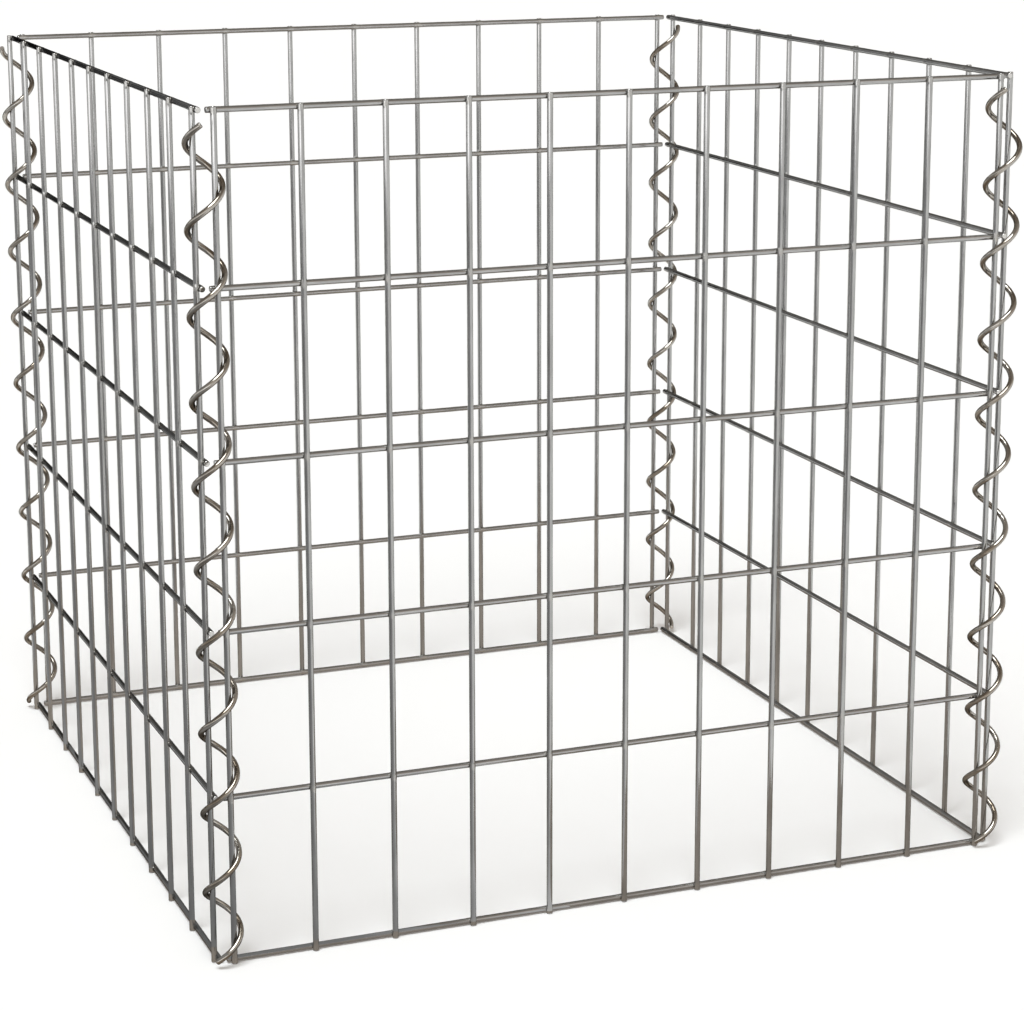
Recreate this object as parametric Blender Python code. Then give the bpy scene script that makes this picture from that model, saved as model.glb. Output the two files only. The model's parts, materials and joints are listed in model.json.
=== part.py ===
"""Compost bin of welded wire mesh, in metres, +Z up.

Four equal mesh panels stand on edge round a square. At each corner a loose wire
spiral is wound down round the two end uprights, so it laces the panels together
and is also the pin that they fold about. The origin is on the ground, in the
middle of the square.
"""

import math

import bmesh
import bpy
from mathutils import Matrix, Vector
from mathutils.geometry import intersect_point_line

MM = 0.001

# Mesh panel: uprights outside, crossbars welded to them on the inside
WIRE_DIAMETER = 3.5 * MM
UPRIGHT_COUNT = 11
UPRIGHT_STEP = 50 * MM
CROSSBAR_COUNT = 6
CROSSBAR_STEP = 100 * MM
WELD_SETDOWN = 1.05 * MM  # how far two welded wires are pressed into each other
UPRIGHT_PAST_TOP = 0.25 * MM  # from the upper side of the top crossbar
UPRIGHT_PAST_BOTTOM = 0.75 * MM  # from the lower side of the bottom crossbar
CROSSBAR_PAST_END = 2.25 * MM  # from the outer side of the end upright

# Corner: the end uprights of two panels stand on opposite sides of the spiral's axis
CORNER_X = 5.3 * MM  # from the axis to either upright, along the front panel
CORNER_Y = 3.3 * MM  # and along the side panel

# Spiral: two turns to a crossbar step and a little over, which adds up to this gain
SPIRAL_WIRE_DIAMETER = 3.5 * MM
SPIRAL_PLAY = 0.36 * MM  # between the spiral and the uprights inside it
TURNS_PER_CROSSBAR_STEP = 2
SPIRAL_GAIN = math.radians(84.7)  # over all the crossbar steps
SPIRAL_BELOW_TOP = 7.0 * MM  # from the top crossbar's centre to the upper end
SPIRAL_ABOVE_BOTTOM = 2.0 * MM  # from the bottom crossbar's centre to the lower end

# Where each spiral's strand is, seen from above and counted from +X, as it passes the
# second crossbar from the top. The strand goes by every crossbar on the outer side of
# its corner, so that it clears them as the panels fold.
STRAND_AZIMUTH = {
    "front_left": math.radians(-76),
    "front_right": math.radians(-82),
    "rear_right": math.radians(20),
    "rear_left": math.radians(-149),
}

# Facets
WIRE_SIDES = 12
SPIRAL_POINTS_PER_TURN = 10
SPIRAL_BEVEL_RESOLUTION = 1  # a tube of six sides
LEAST_SELF_GAP = 0.4 * MM

# Worked out from the values above
WIRE_RADIUS = WIRE_DIAMETER / 2
SPIRAL_WIRE_RADIUS = SPIRAL_WIRE_DIAMETER / 2
MESH_WIDTH = (UPRIGHT_COUNT - 1) * UPRIGHT_STEP
MESH_HEIGHT = (CROSSBAR_COUNT - 1) * CROSSBAR_STEP
BOTTOM_CROSSBAR_Z = UPRIGHT_PAST_BOTTOM + WIRE_RADIUS
TOP_CROSSBAR_Z = BOTTOM_CROSSBAR_Z + MESH_HEIGHT
PANEL_HEIGHT = TOP_CROSSBAR_Z + WIRE_RADIUS + UPRIGHT_PAST_TOP
CROSSBAR_LENGTH = MESH_WIDTH + 2 * (WIRE_RADIUS + CROSSBAR_PAST_END)
CROSSBAR_INSET = WIRE_DIAMETER - WELD_SETDOWN
AXIS_X = MESH_WIDTH / 2 + CORNER_X
AXIS_Y = MESH_WIDTH / 2 + CORNER_Y
FRONT_PLANE_Y = AXIS_Y + CORNER_Y
SIDE_PLANE_X = AXIS_X + CORNER_X
SPIRAL_RADIUS = math.hypot(CORNER_X, CORNER_Y) + WIRE_RADIUS + SPIRAL_PLAY + SPIRAL_WIRE_RADIUS
SPIRAL_TURNS_OVER_MESH = TURNS_PER_CROSSBAR_STEP * (CROSSBAR_COUNT - 1) + SPIRAL_GAIN / math.tau
SPIRAL_PITCH = MESH_HEIGHT / SPIRAL_TURNS_OVER_MESH
SPIRAL_BOTTOM_Z = BOTTOM_CROSSBAR_Z + SPIRAL_ABOVE_BOTTOM
SPIRAL_TOP_Z = TOP_CROSSBAR_Z - SPIRAL_BELOW_TOP
SECOND_CROSSBAR_Z = TOP_CROSSBAR_Z - CROSSBAR_STEP

GALVANISED_MESH = (0.50, 0.50, 0.49, 1.0)
GALVANISED_SPIRAL = (0.52, 0.50, 0.47, 1.0)


def clear_scene():
    for obj in list(bpy.data.objects):
        bpy.data.objects.remove(obj, do_unlink=True)


def galvanised(name, colour, roughness):
    """Zinc-coated steel wire."""
    material = bpy.data.materials.new(name)
    material.use_nodes = True
    shader = material.node_tree.nodes["Principled BSDF"]
    shader.inputs["Base Color"].default_value = colour
    shader.inputs["Metallic"].default_value = 0.9
    shader.inputs["Roughness"].default_value = roughness
    return material


def add_object(name, data):
    obj = bpy.data.objects.new(name, data)
    bpy.context.scene.collection.objects.link(obj)
    return obj


def straight_wires(name, count, length, matrix_of):
    """A mesh object of count straight wires, with flats towards the panel's two faces."""
    bm = bmesh.new()
    half_facet = Matrix.Rotation(math.pi / WIRE_SIDES, 4, "Z")
    for i in range(count):
        bmesh.ops.create_cone(
            bm,
            cap_ends=True,
            segments=WIRE_SIDES,
            radius1=WIRE_RADIUS,
            radius2=WIRE_RADIUS,
            depth=length,
            matrix=matrix_of(i) @ half_facet,
        )
    mesh = bpy.data.meshes.new(name)
    bm.to_mesh(mesh)
    bm.free()
    return add_object(name, mesh)


def upright_place(i):
    x = i * UPRIGHT_STEP - MESH_WIDTH / 2
    return Matrix.Translation((x, 0, PANEL_HEIGHT / 2))


def crossbar_place(i):
    z = BOTTOM_CROSSBAR_Z + i * CROSSBAR_STEP
    return Matrix.Translation((0, CROSSBAR_INSET, z)) @ Matrix.Rotation(math.pi / 2, 4, "Y")


def welded_panel_mesh():
    """One welded panel. Its uprights are in the XZ plane, its crossbars on the +Y side."""
    uprights = straight_wires("uprights", UPRIGHT_COUNT, PANEL_HEIGHT, upright_place)
    crossbars = straight_wires("crossbars", CROSSBAR_COUNT, CROSSBAR_LENGTH, crossbar_place)
    weld = uprights.modifiers.new("weld", "BOOLEAN")
    weld.operation = "UNION"
    weld.solver = "EXACT"
    weld.object = crossbars
    graph = bpy.context.evaluated_depsgraph_get()
    mesh = bpy.data.meshes.new_from_object(uprights.evaluated_get(graph))
    mesh.name = "welded_panel"
    mesh.materials.clear()
    mesh.materials.append(galvanised("galvanised_mesh", GALVANISED_MESH, 0.35))
    bpy.data.objects.remove(uprights)
    bpy.data.objects.remove(crossbars)
    mesh.shade_smooth()
    mesh.set_sharp_from_angle(angle=math.radians(50))
    return mesh


def hang(obj, parent, place):
    """Parents the object and leaves it at this place in the world."""
    bpy.context.view_layer.update()
    if parent:
        obj.parent = parent
        obj.matrix_parent_inverse = parent.matrix_world.inverted()
    obj.matrix_basis = place
    return obj


def fold_axis(name, parent, x, y):
    """An empty on a corner's axis: what hangs from it turns about its Z."""
    return hang(add_object(name, None), parent, Matrix.Translation((x, y, 0)))


def panel(name, mesh, parent, x, y, turn):
    """A panel whose uprights' plane passes (x, y), turned so that its crossbars face inwards."""
    place = Matrix.Translation((x, y, 0)) @ Matrix.Rotation(turn, 4, "Z")
    return hang(add_object(name, mesh), parent, place)


def spiral_points(azimuth_at_second_crossbar):
    """The spiral's centreline round its own axis, right-handed, from the bottom up."""
    length = SPIRAL_TOP_Z - SPIRAL_BOTTOM_Z
    steps = round(length / SPIRAL_PITCH * SPIRAL_POINTS_PER_TURN)
    # Chords cut inside their circle, so the points stand outside it by half of that.
    radius = SPIRAL_RADIUS * 2 / (1 + math.cos(math.pi / SPIRAL_POINTS_PER_TURN))
    points = []
    for i in range(steps + 1):
        z = SPIRAL_BOTTOM_Z + length * i / steps
        turns = (z - SECOND_CROSSBAR_Z) / SPIRAL_PITCH
        azimuth = azimuth_at_second_crossbar + turns * math.tau
        points.append(Vector((radius * math.cos(azimuth), radius * math.sin(azimuth), z)))
    return points


def least_self_gap(points):
    """The least gap between strands of one spiral, from points half a turn or more apart."""
    apart = SPIRAL_POINTS_PER_TURN // 2
    nearest = min(
        (points[i] - points[j]).length
        for i in range(len(points))
        for j in range(i + apart, len(points))
    )
    return nearest - SPIRAL_WIRE_DIAMETER


def crossbar_lines(x, y):
    """The crossbars that reach a corner, as pairs of end points counted from its axis."""
    inward_x = -math.copysign(1, x)
    inward_y = -math.copysign(1, y)
    past_upright = CROSSBAR_PAST_END + WIRE_RADIUS
    front_x = inward_x * (CORNER_X - past_upright)
    front_y = inward_y * (CROSSBAR_INSET - CORNER_Y)
    side_x = inward_x * (CROSSBAR_INSET - CORNER_X)
    side_y = inward_y * (CORNER_Y - past_upright)
    for i in range(CROSSBAR_COUNT):
        z = BOTTOM_CROSSBAR_Z + i * CROSSBAR_STEP
        yield Vector((front_x, front_y, z)), Vector((inward_x * UPRIGHT_STEP, front_y, z))
        yield Vector((side_x, side_y, z)), Vector((side_x, inward_y * UPRIGHT_STEP, z))


def least_crossbar_gap(points, x, y):
    """The least gap between a spiral and the crossbars of its corner, from points."""
    nearest = math.inf
    for start, end in crossbar_lines(x, y):
        for a, b in zip(points, points[1:]):
            for point in (a, (a + b) / 2):
                foot, share = intersect_point_line(point, start, end)
                foot = start.lerp(end, min(max(share, 0), 1))
                nearest = min(nearest, (point - foot).length)
    return nearest - SPIRAL_WIRE_RADIUS - WIRE_RADIUS


def spiral(corner, parent, x, y, material):
    """A wire spiral whose own origin is on the corner's axis."""
    name = corner + "_spiral"
    points = spiral_points(STRAND_AZIMUTH[corner])
    to_itself = least_self_gap(points)
    to_crossbars = least_crossbar_gap(points, x, y)
    print(f"{name}: {to_itself / MM:.2f} mm to itself, over {LEAST_SELF_GAP / MM} mm, "
          f"and {to_crossbars / MM:.2f} mm to the crossbars")
    curve = bpy.data.curves.new(name, "CURVE")
    curve.dimensions = "3D"
    curve.twist_mode = "Z_UP"
    curve.bevel_depth = SPIRAL_WIRE_RADIUS
    curve.bevel_resolution = SPIRAL_BEVEL_RESOLUTION
    curve.use_fill_caps = True
    line = curve.splines.new("POLY")
    line.points.add(len(points) - 1)
    for point, place in zip(line.points, points):
        point.co = (*place, 1)
        point.tilt = math.pi / 6  # a flat of the tube, not an edge, faces the uprights inside
    line.use_smooth = True
    curve.materials.append(material)
    return hang(add_object(name, curve), parent, Matrix.Translation((x, y, 0)))


def main():
    clear_scene()
    mesh = welded_panel_mesh()
    rear = panel("rear_panel", mesh, None, 0, FRONT_PLANE_Y, math.pi)
    rear_left = fold_axis("rear_left_axis", rear, -AXIS_X, AXIS_Y)
    rear_right = fold_axis("rear_right_axis", rear, AXIS_X, AXIS_Y)
    left = panel("left_panel", mesh, rear_left, -SIDE_PLANE_X, 0, -math.pi / 2)
    right = panel("right_panel", mesh, rear_right, SIDE_PLANE_X, 0, math.pi / 2)
    front_left = fold_axis("front_left_axis", left, -AXIS_X, -AXIS_Y)
    front = panel("front_panel", mesh, front_left, 0, -FRONT_PLANE_Y, 0)

    steel = galvanised("galvanised_spiral", GALVANISED_SPIRAL, 0.3)
    spiral("front_left", front, -AXIS_X, -AXIS_Y, steel)
    spiral("front_right", front, AXIS_X, -AXIS_Y, steel)
    spiral("rear_left", left, -AXIS_X, AXIS_Y, steel)
    spiral("rear_right", right, AXIS_X, AXIS_Y, steel)
    print(f"spiral: {2 * (SPIRAL_RADIUS + SPIRAL_WIRE_RADIUS) / MM:.1f} mm across, "
          f"pitch {SPIRAL_PITCH / MM:.2f} mm")


main()
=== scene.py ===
# %% [markdown]
# # A compost bin of welded wire mesh
#
# The bin is four panels of galvanised mesh, laced together at the corners by four wire
# spirals. Its construction is already modelled and packed, with every joint. This lesson
# gives it its looks: round drawn wire, pressed welds, sheared ends and a zinc finish.
#
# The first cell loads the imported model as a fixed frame. Nothing in it may move, because
# its bodies carry whatever we build here.

import json
import math
import random

import bmesh
import bpy
from mathutils import Matrix, Vector


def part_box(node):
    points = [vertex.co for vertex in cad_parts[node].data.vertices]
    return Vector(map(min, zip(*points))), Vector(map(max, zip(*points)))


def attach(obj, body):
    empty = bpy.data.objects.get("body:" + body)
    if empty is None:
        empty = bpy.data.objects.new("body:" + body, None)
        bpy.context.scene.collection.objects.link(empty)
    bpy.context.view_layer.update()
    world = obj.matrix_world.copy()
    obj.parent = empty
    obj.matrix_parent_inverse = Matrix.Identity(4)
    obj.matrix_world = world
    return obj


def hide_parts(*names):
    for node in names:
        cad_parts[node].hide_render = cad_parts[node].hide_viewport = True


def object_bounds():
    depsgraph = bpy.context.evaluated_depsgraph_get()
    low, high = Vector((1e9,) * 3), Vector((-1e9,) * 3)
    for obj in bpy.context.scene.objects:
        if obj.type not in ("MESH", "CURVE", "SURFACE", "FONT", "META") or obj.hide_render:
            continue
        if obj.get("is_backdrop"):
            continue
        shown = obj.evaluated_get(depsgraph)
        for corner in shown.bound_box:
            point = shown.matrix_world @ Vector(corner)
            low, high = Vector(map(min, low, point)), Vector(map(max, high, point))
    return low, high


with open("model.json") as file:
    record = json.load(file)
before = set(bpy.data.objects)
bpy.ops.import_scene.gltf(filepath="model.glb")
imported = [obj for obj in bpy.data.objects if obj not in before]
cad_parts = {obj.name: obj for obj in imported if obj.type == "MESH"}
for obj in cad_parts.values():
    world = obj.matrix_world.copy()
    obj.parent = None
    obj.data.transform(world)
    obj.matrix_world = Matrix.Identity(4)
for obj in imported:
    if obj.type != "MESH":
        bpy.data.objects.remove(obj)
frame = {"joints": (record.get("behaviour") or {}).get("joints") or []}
cad_low, cad_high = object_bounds()

MM = 0.001
print("size in mm:", [round(v / MM, 1) for v in cad_high - cad_low])

# %% [markdown]
# ## The dimensions of the mesh
#
# Welded mesh is sold by its cell and its wire. This one has cells 50 mm wide and 100 mm
# high, in 3.5 mm wire. The crossbars lie behind the uprights, and at a weld the two wires
# are pressed about 1 mm into each other. With those few values every wire has its place.

# %% Mesh dimensions
WIRE_RADIUS = 1.75 * MM
UPRIGHT_COUNT = 11
UPRIGHT_STEP = 50 * MM
CROSSBAR_COUNT = 6
CROSSBAR_STEP = 100 * MM
WELD_SETDOWN = 1.05 * MM
BOTTOM_CROSSBAR_Z = 2.5 * MM
CROSSBAR_PAST_UPRIGHT = 4.0 * MM  # from the end upright's centre to the crossbar's end

panel_low, panel_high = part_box("front_panel")
mesh_width = (UPRIGHT_COUNT - 1) * UPRIGHT_STEP
upright_length = panel_high.z - panel_low.z
crossbar_length = mesh_width + 2 * CROSSBAR_PAST_UPRIGHT
crossbar_inset = 2 * WIRE_RADIUS - WELD_SETDOWN
print(f"upright {upright_length / MM:.1f} mm, crossbar {crossbar_length / MM:.1f} mm")
print(f"panel in the frame {(panel_high.x - panel_low.x) / MM:.1f} mm wide")

# %% [markdown]
# ## Drawing a wire
#
# Wire is made by drawing: a round section is pulled through a die, and the marks that the
# die leaves run along it. A curve with a bevel would give the tube, but not the control
# that welds and cut ends need. So we do as the mill does. A circle is extruded from one
# station to the next, and at each station it may be pressed a little out of round.
#
# Each vertex also remembers where it is on its own wire, in three numbers: two across and
# one along. The finish reads them, so its drawing lines follow the wire round every bend.

# %% A helper that draws a wire
WIRE_SIDES = 20


class Station:
    """One section of a wire: where it is and how the round section is changed there."""

    def __init__(self, place, along, shrink=1.0, press=0.0, weld=0.0, cut=0.0):
        self.place = place
        self.along = along
        self.shrink = shrink
        self.press = press
        self.weld = weld
        self.cut = cut


def wire_bmesh():
    bm = bmesh.new()
    bm.verts.layers.float_vector.new("wire_place")
    bm.verts.layers.float.new("weld")
    bm.verts.layers.float.new("cut")
    return bm


SIDE_SWELL = 0.8  # how much of what a press takes off comes out at the sides


def shape_section(bm, verts, station, pressed_side):
    """Puts a ring of vertices at its station, pressed flat on the side given by +1 or -1."""
    place_layer = bm.verts.layers.float_vector["wire_place"]
    flat = WIRE_RADIUS * (1 - station.press)
    for vert in verts:
        a, b = vert[place_layer].xy
        x = a * station.shrink * (1 + station.press * SIDE_SWELL)
        y = b * station.shrink
        y = pressed_side * min(pressed_side * y, flat)
        vert.co = station.place @ Vector((x, y, 0))
        vert[place_layer] = (a, b, station.along)
        vert[bm.verts.layers.float["weld"]] = station.weld
        vert[bm.verts.layers.float["cut"]] = station.cut


def draw_wire(bm, stations, pressed_side=1):
    """Extrudes a ring through the stations, and closes both ends with a flat cut face."""
    place_layer = bm.verts.layers.float_vector["wire_place"]
    ring = bmesh.ops.create_circle(bm, segments=WIRE_SIDES, radius=WIRE_RADIUS)["verts"]
    for vert in ring:
        vert[place_layer] = vert.co
    edges = [e for e in bm.edges if e.verts[0] in ring and e.verts[1] in ring]
    shape_section(bm, ring, stations[0], pressed_side)
    end_faces = bmesh.ops.contextual_create(bm, geom=edges)["faces"]
    for station in stations[1:]:
        grown = bmesh.ops.extrude_edge_only(bm, edges=edges)["geom"]
        ring = [g for g in grown if isinstance(g, bmesh.types.BMVert)]
        edges = [g for g in grown if isinstance(g, bmesh.types.BMEdge)]
        edges = [e for e in edges if e.verts[0] in ring and e.verts[1] in ring]
        shape_section(bm, ring, station, pressed_side)
    end_faces += bmesh.ops.contextual_create(bm, geom=edges)["faces"]
    for face in bm.faces:
        face.smooth = True
    for face in end_faces:
        face.smooth = False
        for edge in face.edges:
            edge.smooth = False
    bmesh.ops.recalc_face_normals(bm, faces=bm.faces)


def finished_mesh(bm, name):
    mesh = bpy.data.meshes.new(name)
    bm.to_mesh(mesh)
    bm.free()
    print(f"{name}: {len(mesh.vertices)} vertices, {len(mesh.polygons)} faces")
    return mesh


# %% [markdown]
# ## Sheared ends and pressed welds
#
# The mill cuts wire with a shear, which leaves a bare face with a slightly drawn-in rim.
# At a weld, two electrodes press on the wires from both sides. Each leaves a small flat on
# the outer side, the metal swells out beside it, and the heat dulls the zinc round about.
#
# So a wire's stations are dense at its ends and round each weld, and far apart elsewhere.

# %% Stations of a straight wire
RIM = [(0.0, 0.86), (0.12 * MM, 0.94), (0.35 * MM, 0.985), (0.8 * MM, 1.0)]
PRESS_DEPTH = 0.085  # of the radius, at the middle of an electrode's mark
PRESS_REACH = 2.6 * MM  # from the middle of the mark to its edge, along the wire
PRESS_SLOPE = 1.3 * MM  # the outer part of that, over which the mark gets shallower
HEAT_REACH = 6.0 * MM
WELD_OFFSETS_MM = [-6.0, -4.2, -2.9, -2.3, -1.6, -0.8, 0.0, 0.8, 1.6, 2.3, 2.9, 4.2, 6.0]


def smooth_step(share):
    share = min(max(share, 0.0), 1.0)
    return share * share * (3 - 2 * share)


def straight_stations(length, welds):
    """Stations along Z from 0 to length, dense at the ends and at the welds."""
    places = {0.0: None}
    for off, shrink in RIM:
        places[off] = shrink
        places[length - off] = shrink
    for weld in welds:
        for off in WELD_OFFSETS_MM:
            z = weld + off * MM
            if RIM[-1][0] < z < length - RIM[-1][0]:
                places[z] = 1.0
    stations = []
    for z in sorted(places):
        away = min(abs(z - weld) for weld in welds)
        press = PRESS_DEPTH * smooth_step((PRESS_REACH - away) / PRESS_SLOPE)
        heat = smooth_step(1 - away / HEAT_REACH)
        cut = 1.0 if z in (0.0, length) else 0.0
        place = Matrix.Translation((0, 0, z))
        stations.append(Station(place, z, places[z], press, heat, cut))
    return stations


upright_welds = [BOTTOM_CROSSBAR_Z + i * CROSSBAR_STEP for i in range(CROSSBAR_COUNT)]
crossbar_welds = [CROSSBAR_PAST_UPRIGHT + i * UPRIGHT_STEP for i in range(UPRIGHT_COUNT)]

bm = wire_bmesh()
draw_wire(bm, straight_stations(upright_length, upright_welds), pressed_side=-1)
upright_mesh = finished_mesh(bm, "upright")

bm = wire_bmesh()
draw_wire(bm, straight_stations(crossbar_length, crossbar_welds), pressed_side=1)
crossbar_mesh = finished_mesh(bm, "crossbar")

# %% [markdown]
# ## The upset of a weld
#
# What the electrodes squeeze out of the joint stands as a thin rim in the four corners
# between the wires. A squashed sphere in the plane where the wires meet gives just that,
# because only its rim shows. There are 264 of them, so each has few faces.

# %% One weld bead
BEAD_RADIUS = 2.0 * MM
BEAD_HALF_HEIGHT = 1.0 * MM
BEAD_SEGMENTS = 12
BEAD_RINGS = 6

bm = wire_bmesh()
bmesh.ops.create_uvsphere(bm, u_segments=BEAD_SEGMENTS, v_segments=BEAD_RINGS, radius=1.0)
bmesh.ops.scale(bm, vec=(BEAD_RADIUS, BEAD_RADIUS, BEAD_HALF_HEIGHT), verts=bm.verts)
bmesh.ops.rotate(bm, matrix=Matrix.Rotation(math.pi / 2, 3, "X"), verts=bm.verts)
for vert in bm.verts:
    vert[bm.verts.layers.float_vector["wire_place"]] = vert.co
    vert[bm.verts.layers.float["weld"]] = 1.0
for face in bm.faces:
    face.smooth = True
bead_mesh = finished_mesh(bm, "weld_bead")

# %% [markdown]
# ## Putting a panel together
#
# A panel stands in its own XZ plane, with its crossbars on the +Y side. Each wire gets its
# own stretch of the finish, by a long step added to its place along the wire, so that no
# two wires show the same marks. The beads vary a little in size and turn, as real ones do.

# %% Build one panel
FINISH_STEP = 1.7  # metres of finish from one wire to the next
BEAD_SIZES = (0.85, 1.0)  # the smallest and the largest, as shares of the bead above

rng = random.Random(11)


def add_copy(bm, mesh, place, finish_start):
    """Adds a copy of a mesh at its place, with its own stretch of the finish."""
    place_layer = bm.verts.layers.float_vector["wire_place"]
    before = len(bm.verts)
    bm.from_mesh(mesh)
    bm.verts.ensure_lookup_table()
    for vert in bm.verts[before:]:
        vert.co = place @ vert.co
        vert[place_layer].z += finish_start


def panel_bmesh(first_finish):
    bm = wire_bmesh()
    finish = first_finish
    for i in range(UPRIGHT_COUNT):
        x = i * UPRIGHT_STEP - mesh_width / 2
        add_copy(bm, upright_mesh, Matrix.Translation((x, 0, 0)), finish)
        finish += FINISH_STEP
    for k in range(CROSSBAR_COUNT):
        z = BOTTOM_CROSSBAR_Z + k * CROSSBAR_STEP
        start = Matrix.Translation((-crossbar_length / 2, crossbar_inset, z))
        add_copy(bm, crossbar_mesh, start @ Matrix.Rotation(math.pi / 2, 4, "Y"), finish)
        finish += FINISH_STEP
        for i in range(UPRIGHT_COUNT):
            x = i * UPRIGHT_STEP - mesh_width / 2
            middle = Matrix.Translation((x, crossbar_inset / 2, z))
            turn = Matrix.Rotation(rng.uniform(0, math.pi), 4, "Y")
            size = Matrix.Scale(rng.uniform(*BEAD_SIZES), 4)
            add_copy(bm, bead_mesh, middle @ turn @ size, finish)
    return bm


# %% [markdown]
# ## Four panels, one on each body
#
# The frame says where each panel stands: its uprights touch the outer side of the panel's
# box. A turn about Z brings the crossbars to the inner side. Each new piece rides on its
# body and replaces the plain CAD panel.

# %% Place the panels
PANEL_FINISH_STEP = 100.0  # metres of finish from one panel to the next
PANELS = {
    "front_panel": ("y", -1, 0.0),
    "rear_panel": ("y", 1, math.pi),
    "left_panel": ("x", -1, -math.pi / 2),
    "right_panel": ("x", 1, math.pi / 2),
}


def add_piece(mesh, name, body):
    piece = bpy.data.objects.new(name, mesh)
    bpy.context.scene.collection.objects.link(piece)
    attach(piece, body)
    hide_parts(body)
    return piece


panels = []
for index, (body, (axis, side, turn)) in enumerate(PANELS.items()):
    low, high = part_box(body)
    outer = getattr(high if side > 0 else low, axis)
    plane = outer - side * WIRE_RADIUS
    middle = Vector((plane, 0, 0)) if axis == "x" else Vector((0, plane, 0))
    bm = panel_bmesh(index * PANEL_FINISH_STEP)
    place = Matrix.Translation(middle) @ Matrix.Rotation(turn, 4, "Z")
    bmesh.ops.transform(bm, matrix=place, verts=bm.verts)
    mesh = finished_mesh(bm, body + "_wires")
    panels.append(add_piece(mesh, body + "_wires", body))

# %% [markdown]
# ## The corner spirals
#
# A spiral is one length of the same wire, wound right-handed round the two end uprights
# with a little play. Spin or a Screw modifier would wind the tube in one go. Here it is
# drawn through stations on a helix, like the other wires, so that the finish can follow
# it. A section stands square to the helix, which climbs at the angle found below.
#
# All four are the same spiral. They differ only in where the strand is as it passes the
# second crossbar from the top.

# %% Wind the spirals
SPIRAL_RADIUS = 10.10 * MM  # of the centre of its wire
SPIRAL_BOTTOM_Z = 4.5 * MM
SPIRAL_TOP_Z = 495.5 * MM
SPIRAL_TURNS_OVER_MESH = 10 + 84.7 / 360
STATIONS_PER_TURN = 44
STRAND_AZIMUTH = {
    "front_left_spiral": math.radians(-76),
    "front_right_spiral": math.radians(-82),
    "rear_right_spiral": math.radians(20),
    "rear_left_spiral": math.radians(-149),
}

mesh_height = (CROSSBAR_COUNT - 1) * CROSSBAR_STEP
spiral_pitch = mesh_height / SPIRAL_TURNS_OVER_MESH
climb = math.atan2(spiral_pitch, math.tau * SPIRAL_RADIUS)
second_crossbar_z = BOTTOM_CROSSBAR_Z + (CROSSBAR_COUNT - 2) * CROSSBAR_STEP
print(f"pitch {spiral_pitch / MM:.2f} mm, climb {math.degrees(climb):.1f} degrees")


def helix_place(z, azimuth):
    """The place of the wire's section at height z, with its own Z along the wire."""
    radial = Vector((math.cos(azimuth), math.sin(azimuth), 0))
    level = Vector((-math.sin(azimuth), math.cos(azimuth), 0))
    forward = level * math.cos(climb) + Vector((0, 0, math.sin(climb)))
    across = forward.cross(radial)
    place = Matrix((radial, across, forward)).transposed().to_4x4()
    place.translation = radial * SPIRAL_RADIUS + Vector((0, 0, z))
    return place


def spiral_stations(azimuth_at_crossbar):
    wire_length = (SPIRAL_TOP_Z - SPIRAL_BOTTOM_Z) / math.sin(climb)
    turns = (SPIRAL_TOP_Z - SPIRAL_BOTTOM_Z) / spiral_pitch
    steps = round(turns * STATIONS_PER_TURN)
    alongs = {wire_length * i / steps: 1.0 for i in range(1, steps)}
    for off, shrink in RIM:
        alongs[off] = shrink
        alongs[wire_length - off] = shrink
    stations = []
    for along in sorted(alongs):
        z = SPIRAL_BOTTOM_Z + along * math.sin(climb)
        azimuth = azimuth_at_crossbar + (z - second_crossbar_z) / spiral_pitch * math.tau
        cut = 1.0 if along in (0.0, wire_length) else 0.0
        stations.append(Station(helix_place(z, azimuth), along, alongs[along], cut=cut))
    return stations


axes = {joint["child"]: Vector(joint["pos_m"]) for joint in frame["joints"]}
spirals = []
for index, (body, azimuth) in enumerate(STRAND_AZIMUTH.items()):
    bm = wire_bmesh()
    draw_wire(bm, spiral_stations(azimuth))
    axis = Vector((axes[body].x, axes[body].y, 0))
    bmesh.ops.translate(bm, vec=axis, verts=bm.verts)
    mesh = finished_mesh(bm, body + "_wire")
    spirals.append(add_piece(mesh, body + "_wire", body))

# %% [markdown]
# ## A short way to write nodes
#
# A finish or a sky made of nodes is a chain of small sums. Added one node at a time it would
# fill pages. This helper adds a node, sets its sockets, and links those that get a socket.

# %% A helper for shader nodes
class Nodes:
    """Adds shader nodes to one tree and links them."""

    def __init__(self, tree):
        self.tree = tree

    def put(self, value, socket):
        if isinstance(value, bpy.types.NodeSocket):
            self.tree.links.new(value, socket)
        else:
            socket.default_value = value

    def add(self, kind, inputs=None, **settings):
        node = self.tree.nodes.new(kind)
        for name, value in settings.items():
            setattr(node, name, value)
        for name, value in (inputs or {}).items():
            self.put(value, node.inputs[name])
        return node

    def compute(self, operation, first, second):
        node = self.add("ShaderNodeMath", {0: first, 1: second}, operation=operation)
        return node.outputs[0]

    def mix(self, factor, first, second):
        node = self.add("ShaderNodeMix", data_type="RGBA")
        self.put(factor, node.inputs[0])
        self.put(first, node.inputs[6])  # the colour sockets A and B
        self.put(second, node.inputs[7])
        return node.outputs[2]

    def remap(self, value, low, high, to_low=0.0, to_high=1.0):
        limits = {"Value": value, "From Min": low, "From Max": high}
        limits.update({"To Min": to_low, "To Max": to_high})
        return self.add("ShaderNodeMapRange", limits).outputs[0]

    def stretch(self, place, factors):
        node = self.add("ShaderNodeVectorMath", {0: place, 1: factors}, operation="MULTIPLY")
        return node.outputs[0]

    def noise(self, place, across, along, detail):
        where = self.stretch(place, (across, across, along))
        inputs = {"Vector": where, "Scale": 1.0, "Detail": detail}
        return self.add("ShaderNodeTexNoise", inputs).outputs["Fac"]


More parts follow.
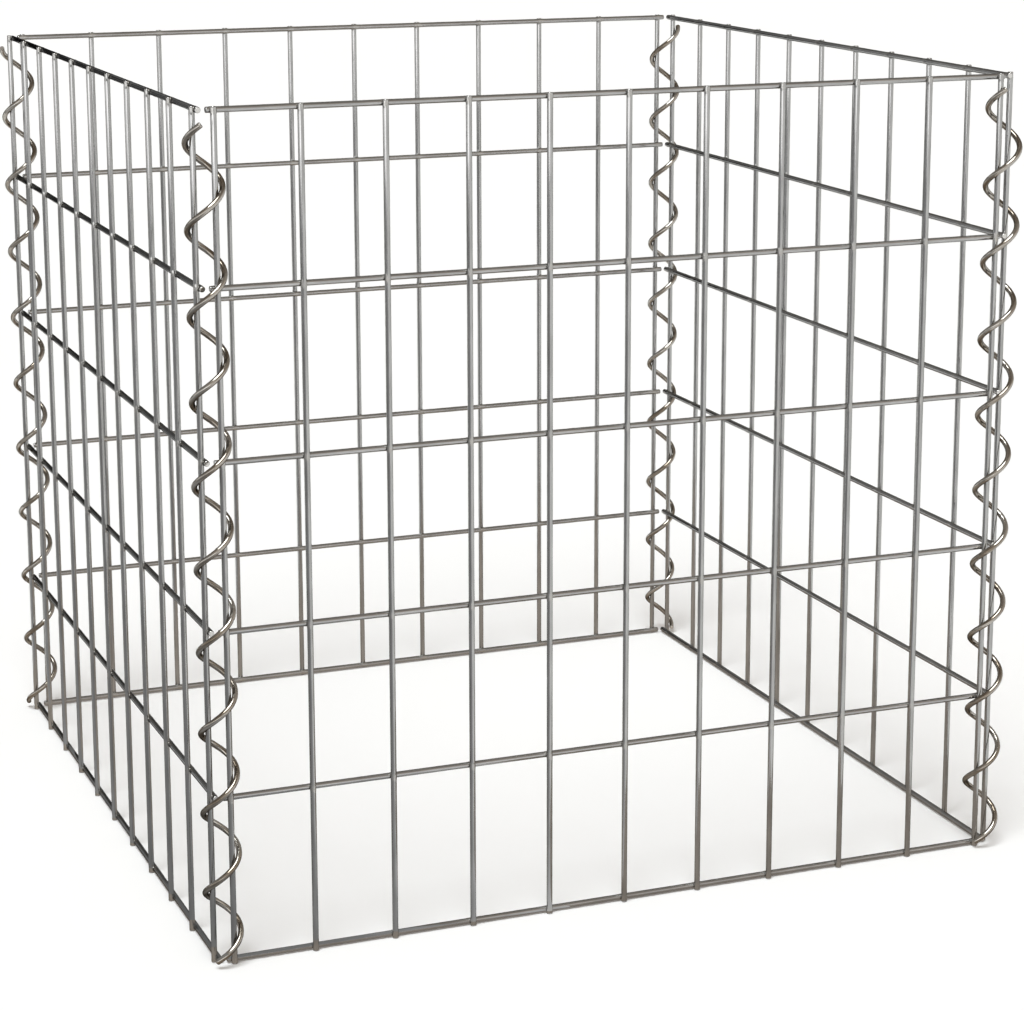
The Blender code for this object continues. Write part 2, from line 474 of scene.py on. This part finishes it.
# %% [markdown]
# ## Bright zinc
#
# Galvanised wire is steel under a thin coat of zinc. Seen closely it isn't one grey. The
# coat is cloudy, fine lines run along it where it went through the die, and round each weld
# it is frosted by the heat. The cut faces are bare steel. The spirals are wound from another
# coil, whose zinc has yellowed a little.
#
# All of it is worked out from the numbers that each vertex carries, so no picture is needed.
# Noise that is stretched along the wire gives the lines, and rounder noise the clouds. The
# lines also lift the surface by a few hundredths of a millimetre, and change its gloss.

# %% Zinc on wire
LINES_ACROSS = 1100  # waves of noise in a metre, across the wire and along it
LINES_ALONG = 9
CLOUDS_ACROSS = 420
CLOUDS_ALONG = 45
NOISE_DETAIL = 3.0
LINE_BAND = (0.3, 0.7)  # the part of the noise that goes from the smoothest to the roughest
CLOUD_BAND = (0.35, 0.65)  # from the dark zinc to the light zinc
HALO_BAND = (0.2, 0.6)  # of the weld's heat times the clouds, from plain to frosted zinc
LINE_HEIGHT = 0.08 * MM
LINE_STRENGTH = 0.5
SMOOTHEST, ROUGHEST = 0.08, 0.15
WELD_DULLING = 0.14  # added to the roughness in the middle of a weld's halo
EDGE_TINT = (0.25, 0.25, 0.25, 1)  # metal seen at a grazing angle
WELD_ZINC = (0.44, 0.43, 0.41, 1)
CUT_STEEL = (0.62, 0.61, 0.59, 1)


def zinc(name, light, dark):
    material = bpy.data.materials.new(name)
    material.use_nodes = True
    nodes = Nodes(material.node_tree)
    shader = material.node_tree.nodes["Principled BSDF"]
    place = nodes.add("ShaderNodeAttribute", attribute_name="wire_place").outputs["Vector"]
    weld = nodes.add("ShaderNodeAttribute", attribute_name="weld").outputs["Fac"]
    cut = nodes.add("ShaderNodeAttribute", attribute_name="cut").outputs["Fac"]
    lines = nodes.noise(place, LINES_ACROSS, LINES_ALONG, NOISE_DETAIL)
    clouds = nodes.noise(place, CLOUDS_ACROSS, CLOUDS_ALONG, NOISE_DETAIL)

    halo = nodes.remap(nodes.compute("MULTIPLY", weld, clouds), *HALO_BAND)
    colour = nodes.mix(nodes.remap(clouds, *CLOUD_BAND), dark, light)
    colour = nodes.mix(halo, colour, WELD_ZINC)
    colour = nodes.mix(cut, colour, CUT_STEEL)
    gloss = nodes.remap(lines, *LINE_BAND, SMOOTHEST, ROUGHEST)
    dulled = nodes.compute("ADD", gloss, nodes.compute("MULTIPLY", halo, WELD_DULLING))
    relief = {"Height": lines, "Distance": LINE_HEIGHT, "Strength": LINE_STRENGTH}
    bump = nodes.add("ShaderNodeBump", relief)

    shader.inputs["Metallic"].default_value = 1.0
    shader.inputs["Specular Tint"].default_value = EDGE_TINT
    nodes.put(colour, shader.inputs["Base Color"])
    nodes.put(dulled, shader.inputs["Roughness"])
    nodes.put(bump.outputs[0], shader.inputs["Normal"])
    print(f"{name}: {len(material.node_tree.nodes)} nodes")
    return material


mesh_zinc = zinc("mesh_zinc", light=(0.44, 0.44, 0.436, 1), dark=(0.35, 0.35, 0.345, 1))
spiral_zinc = zinc("spiral_zinc", light=(0.50, 0.48, 0.445, 1), dark=(0.21, 0.173, 0.132, 1))
for piece in panels:
    piece.data.materials.append(mesh_zinc)
for piece in spirals:
    piece.data.materials.append(spiral_zinc)

# %% [markdown]
# ## A pale floor
#
# The bin stands on a seamless floor, so wide that its far edge is out of sight. The white
# background is its own colour, plainly lit, and it keeps the soft shadows of the wires.

# %% Floor
FLOOR_SIDE = 60.0
FLOOR_PAINT = (0.9, 0.9, 0.9, 1)
FLOOR_ROUGHNESS = 0.9

bm = bmesh.new()
bmesh.ops.create_grid(bm, x_segments=1, y_segments=1, size=FLOOR_SIDE / 2)
floor = bpy.data.objects.new("floor", finished_mesh(bm, "floor"))
bpy.context.scene.collection.objects.link(floor)
floor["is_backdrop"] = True

paint = bpy.data.materials.new("pale_floor")
paint.use_nodes = True
paint_shader = paint.node_tree.nodes["Principled BSDF"]
paint_shader.inputs["Base Color"].default_value = FLOOR_PAINT
paint_shader.inputs["Roughness"].default_value = FLOOR_ROUGHNESS
floor.data.materials.append(paint)

# %% [markdown]
# ## The sky of the studio
#
# Bright wire shows what stands round it more than it shows the lamps. So the light comes
# from broad, soft things. The world is a white band along the horizon, which the floor runs
# into. Above it are a wall that is open and bright behind the camera and dim behind the bin,
# and a ceiling that is dim and a little warm. The ceiling draws the dark, warm upper edge of
# each crossbar.

# %% Sky
HORIZON = (1.0, 1.0, 1.0, 1)
OPEN_WALL = (0.86, 0.78, 0.70, 1)
DIM_WALL = (0.30, 0.29, 0.28, 1)
CEILING = (0.365, 0.33, 0.295, 1)
TOWARDS_OPEN_WALL = Vector((0.37, -0.93, 0)).normalized()
OPEN_BAND = (-0.1, 0.6)  # from the dim wall to the open one, along that direction
WALL_BAND = (0.16, 0.34)  # from the horizon to the walls, by the direction's Z
CEILING_BAND = (0.4, 0.8)  # from the walls to the ceiling

scene = bpy.context.scene
world = bpy.data.worlds.new("studio")
world.use_nodes = True
scene.world = world
nodes = Nodes(world.node_tree)
direction = nodes.add("ShaderNodeTexCoord").outputs["Generated"]
height = nodes.add("ShaderNodeSeparateXYZ", {0: direction}).outputs["Z"]
openness = nodes.add(
    "ShaderNodeVectorMath", {0: direction, 1: TOWARDS_OPEN_WALL}, operation="DOT_PRODUCT"
).outputs["Value"]
sky = nodes.mix(nodes.remap(openness, *OPEN_BAND), DIM_WALL, OPEN_WALL)
sky = nodes.mix(nodes.remap(height, *CEILING_BAND), sky, CEILING)
sky = nodes.mix(nodes.remap(height, *WALL_BAND), HORIZON, sky)
nodes.put(sky, world.node_tree.nodes["Background"].inputs["Color"])
print("white up to", round(math.degrees(math.asin(WALL_BAND[0]))), "degrees of height")

# %% [markdown]
# ## The key lamp
#
# One lamp gives the light its direction. It is a sun as wide as a large softbox, over the
# camera's left shoulder, and a trace cooler than white, which balances the warm ceiling and
# keeps the floor neutral. It stands high, because a straight wire seen from behind flashes
# white all along when a lower lamp shines across it.

# %% Key lamp
KEY_DIRECTION = Vector((0.27, 0.32, -0.9))
KEY_WIDTH = math.radians(32)
KEY_ENERGY = 2.6
KEY_COLOUR = (0.94, 0.98, 1.0)

key_lamp = bpy.data.lights.new("key", "SUN")
key_lamp.angle = KEY_WIDTH
key_lamp.energy = KEY_ENERGY
key_lamp.color = KEY_COLOUR
key = bpy.data.objects.new("key", key_lamp)
scene.collection.objects.link(key)
key.rotation_euler = KEY_DIRECTION.to_track_quat("-Z", "Y").to_euler()
key_height = math.asin(-KEY_DIRECTION.normalized().z)
print("key lamp's height in degrees:", round(math.degrees(key_height)))

# %% [markdown]
# ## Cards for the metal
#
# On a white floor, bright wire mirrors white all round and melts into the background. So a
# photographer stands cards round it, just out of the picture. Ours are hidden from the
# camera and cast no shadow. Only reflections show them, as a narrow band in each wire:
#
# - a card that slopes up from the floor on the left and in front, dark towards the camera's
#   left. It gives each upright its dark left side.
# - a card of a warm grey on the floor, under the bin. It gives each crossbar a dark, warm
#   lower side, and the uprights' feet mirror it too, which would else be white.
# - a card behind, black in one stretch. The crossbars of the left panel mirror that.
# - a bright strip beyond the sloping card. Only the tops of the uprights see over the
#   card's edge to the strip, and they have bright cores for that.
#
# A card is a short line, spun round the bin. Its shade depends on the azimuth alone, in
# degrees from +X towards +Y, and blends from one value given to the next.

# %% A helper that makes a card
CARD_STEPS = 60


def card_glow(name, shades, tint):
    """An even glow with a shade at each azimuth, from a radial gradient round the bin."""
    material = bpy.data.materials.new(name)
    material.use_nodes = True
    material.node_tree.nodes.clear()
    nodes = Nodes(material.node_tree)
    place = nodes.add("ShaderNodeTexCoord").outputs["Object"]
    turned = nodes.stretch(place, (-1, -1, 1))  # the gradient's ends now meet on +X
    gradient = nodes.add("ShaderNodeTexGradient", {0: turned}, gradient_type="RADIAL")
    ramp = nodes.add("ShaderNodeValToRGB", {0: gradient.outputs["Fac"]})
    stops = ramp.color_ramp.elements
    for index, (azimuth, shade) in enumerate(shades):
        stop = stops[index] if index < len(stops) else stops.new(azimuth / 360)
        stop.position = azimuth / 360
        stop.color = (*(shade * part for part in tint), 1)
    glow = nodes.add("ShaderNodeEmission", {"Color": ramp.outputs["Color"]})
    nodes.add("ShaderNodeOutputMaterial", {"Surface": glow.outputs[0]})
    return material


def card(name, first_edge, second_edge, shades, tint=(1, 1, 1)):
    """A card round the bin, between two edges that are each a radius and a height."""
    start, end = math.radians(shades[0][0]), math.radians(shades[-1][0])
    bm = bmesh.new()
    ends = []
    for radius, z in (first_edge, second_edge):
        place = (radius * math.cos(start), radius * math.sin(start), z)
        ends += bmesh.ops.create_vert(bm, co=place)["vert"]
    line = bm.edges.new(ends)
    turn = {"axis": (0, 0, 1), "angle": end - start, "steps": CARD_STEPS}
    bmesh.ops.spin(bm, geom=ends + [line], **turn)
    obj = bpy.data.objects.new(name, finished_mesh(bm, name))
    bpy.context.scene.collection.objects.link(obj)
    for use in ("camera", "diffuse", "shadow", "transmission", "volume_scatter"):
        setattr(obj, "visible_" + use, False)
    obj.data.materials.append(card_glow(name, shades, tint))
    obj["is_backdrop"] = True


# %% [markdown]
# ## Placing the cards
#
# A card is given by its two edges and its shades. The near edge of the sloping card lies on
# the floor, close under the panels, so that the uprights mirror it down to their feet. Its
# far edge is just so high that only the topmost part of each upright looks over it. The
# floor card is spun all the way round, into a disc a little wider than the bin.

# %% Set up the cards
card(
    "sloping_card",
    first_edge=(0.25, 0.001),
    second_edge=(2.4, 0.175),
    shades=[(150, 0.50), (175, 0.50), (200, 0.34), (222, 0.32), (245, 0.50), (262, 0.95)],
)
card(
    "floor_card",
    first_edge=(0.002, 0.0006),
    second_edge=(0.45, 0.0006),
    shades=[(0, 0.50), (150, 0.50), (210, 0.41), (330, 0.41), (360, 0.50)],
    tint=(1.12, 1.0, 0.88),
)
card(
    "rear_card",
    first_edge=(2.0, 0.04),
    second_edge=(2.0, 0.95),
    shades=[(30, 0.50), (60, 0.42), (76, 0.38), (81, 0.0), (109, 0.0), (113, 0.42), (150, 0.50)],
)
card(
    "bright_strip",
    first_edge=(2.6, 0.0),
    second_edge=(2.6, 0.5),
    shades=[(140, 1.2), (205, 1.4), (220, 2.7), (246, 2.7), (256, 1.1), (262, 1.0)],
)

# %% [markdown]
# ## The camera
#
# The photograph is taken from the front, left of the middle and a little above the bin's
# top. Its uprights all stand parallel, so its camera was level, with much of the frame in
# shift. A camera here keeps its shift in every other view, where so much would push the bin
# out of the picture. So ours looks down by 12 degrees and shifts by a tenth of the frame.
# Its place, turn and lens are fitted to all the wires at once.

# %% Camera
CAMERA_PLACE = (-0.6514, -1.7309, 0.6693)
CAMERA_DOWN = 12.321  # degrees
CAMERA_RIGHT = 22.004
CAMERA_LENS = 97.09
CAMERA_SHIFT = (-0.0284, -0.10)
SENSOR_WIDTH = 36
VIEW_LIMIT = 100

camera_data = bpy.data.cameras.new("camera")
camera_data.sensor_width = SENSOR_WIDTH
camera_data.lens = CAMERA_LENS
camera_data.shift_x, camera_data.shift_y = CAMERA_SHIFT
camera_data.clip_end = VIEW_LIMIT
camera = bpy.data.objects.new("camera", camera_data)
scene.collection.objects.link(camera)
scene.camera = camera
camera.location = CAMERA_PLACE
camera.rotation_euler = (math.radians(90 - CAMERA_DOWN), 0, math.radians(-CAMERA_RIGHT))
scene.view_settings.view_transform = "Standard"
print("camera", [round(v, 3) for v in CAMERA_PLACE], f"{CAMERA_LENS} mm")

# %% [markdown]
# ## The sizes of both boxes
#
# The finished wires are meant to stay inside the box of the imported model. The sizes of
# both boxes are printed here, in millimetres.

# %% Print the sizes
low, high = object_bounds()
sizes = {
    "cad": [list(cad_low), list(cad_high)],
    "visual": [list(low), list(high)],
}
for name, (low, high) in sizes.items():
    print(name, [round((b - a) / MM, 2) for a, b in zip(low, high)], "mm")
